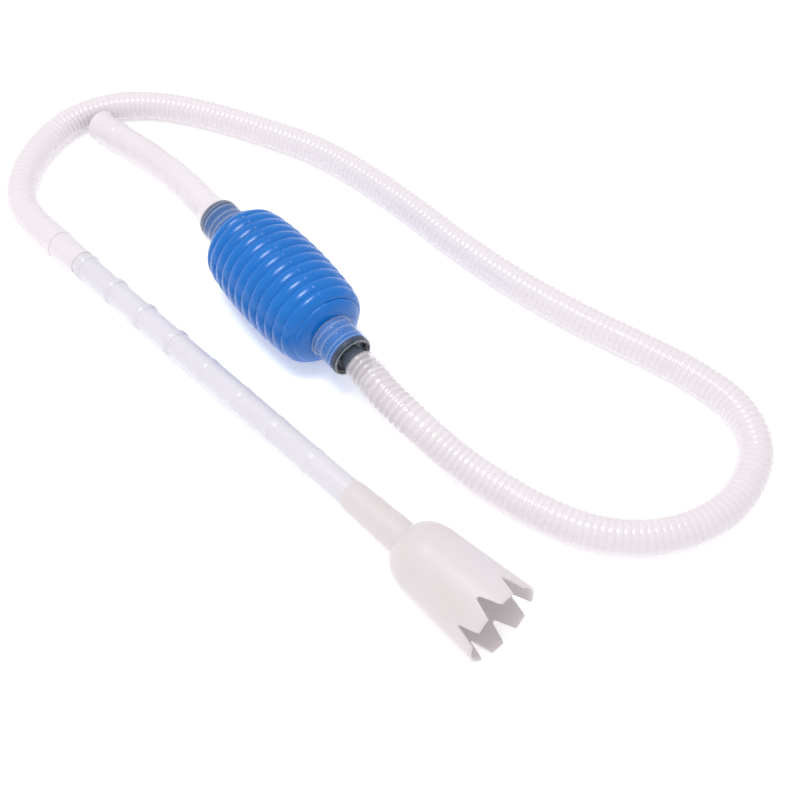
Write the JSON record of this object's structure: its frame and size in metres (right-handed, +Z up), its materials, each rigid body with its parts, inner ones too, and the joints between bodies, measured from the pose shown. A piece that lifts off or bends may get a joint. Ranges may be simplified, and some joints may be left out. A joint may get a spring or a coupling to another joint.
{
  "type": "gravel vacuum siphon",
  "caption": "Aquarium gravel siphon: ribbed squeeze bulb with valved necks, corrugated hoses and a ring-beaded gravel tube ending in a toothed cup.",
  "frame": {"origin": "on the plane that the siphon lies on, under the middle of the box around the bulb assembly, gravel tube and cup, without the loose hoses", "axes": "+X along the gravel tube towards the cup, +Y towards the bulb, +Z up"},
  "size_m": [0.5485, 0.2414, 0.062],
  "materials": {
    "bulb_vinyl": "satin soft vinyl, faintly see-through",
    "collar_vinyl": "clear soft vinyl",
    "gasket_rubber": "black rubber",
    "valve_plastic": "dark grey moulded plastic",
    "disc_rubber": "thin black rubber",
    "hose_vinyl": "milky clear corrugated vinyl",
    "cuff_vinyl": "milky clear smooth vinyl",
    "tube_plastic": "milky see-through moulded plastic",
    "cup_plastic": "milky moulded plastic"
  },
  "bodies": {
    "siphon": {"bulb": "bulb_vinyl", "inlet_collar": "collar_vinyl", "inlet_cuff": "cuff_vinyl", "inlet_gasket": "gasket_rubber", "inlet_valve_body": "valve_plastic", "inlet_valve_cage": "valve_plastic", "main_hose": "hose_vinyl", "tube_cuff": "cuff_vinyl"},
    "outlet_end": {"outlet_collar": "collar_vinyl", "outlet_valve_seat": "valve_plastic", "outlet_valve_body": "valve_plastic", "outlet_gasket": "gasket_rubber", "outlet_cuff": "cuff_vinyl", "tail_hose": "hose_vinyl", "tail_end_cuff": "cuff_vinyl"},
    "inlet_disc": {"inlet_valve_disc": "disc_rubber"},
    "outlet_disc": {"outlet_valve_disc": "disc_rubber"},
    "gravel_tube": {"gravel_tube": "tube_plastic"},
    "gravel_cup": {"gravel_cup": "cup_plastic"}
  },
  "joints": [
    {"name": "bulb_squeeze", "type": "slide", "parent": "siphon", "child": "outlet_end", "axis": [0.9925, -0.1219, 0], "range_m": [0, 0.022], "stiffness_N_per_m": 400, "deforming": ["bulb"]},
    {"name": "inlet_valve_lift", "type": "slide", "parent": "siphon", "child": "inlet_disc", "axis": [-0.9925, 0.1219, 0], "range_m": [0, 0.0022]},
    {"name": "outlet_valve_lift", "type": "slide", "parent": "outlet_end", "child": "outlet_disc", "axis": [-0.9925, 0.1219, 0], "range_m": [0, 0.0022]},
    {"name": "tube_pull", "type": "slide", "parent": "siphon", "child": "gravel_tube", "axis": [0.9994, 0, 0.0334], "range_m": [0, 0.02]},
    {"name": "cup_pull", "type": "slide", "parent": "gravel_tube", "child": "gravel_cup", "axis": [0.9994, 0, 0.0334], "range_m": [0, 0.038]}
  ]
}
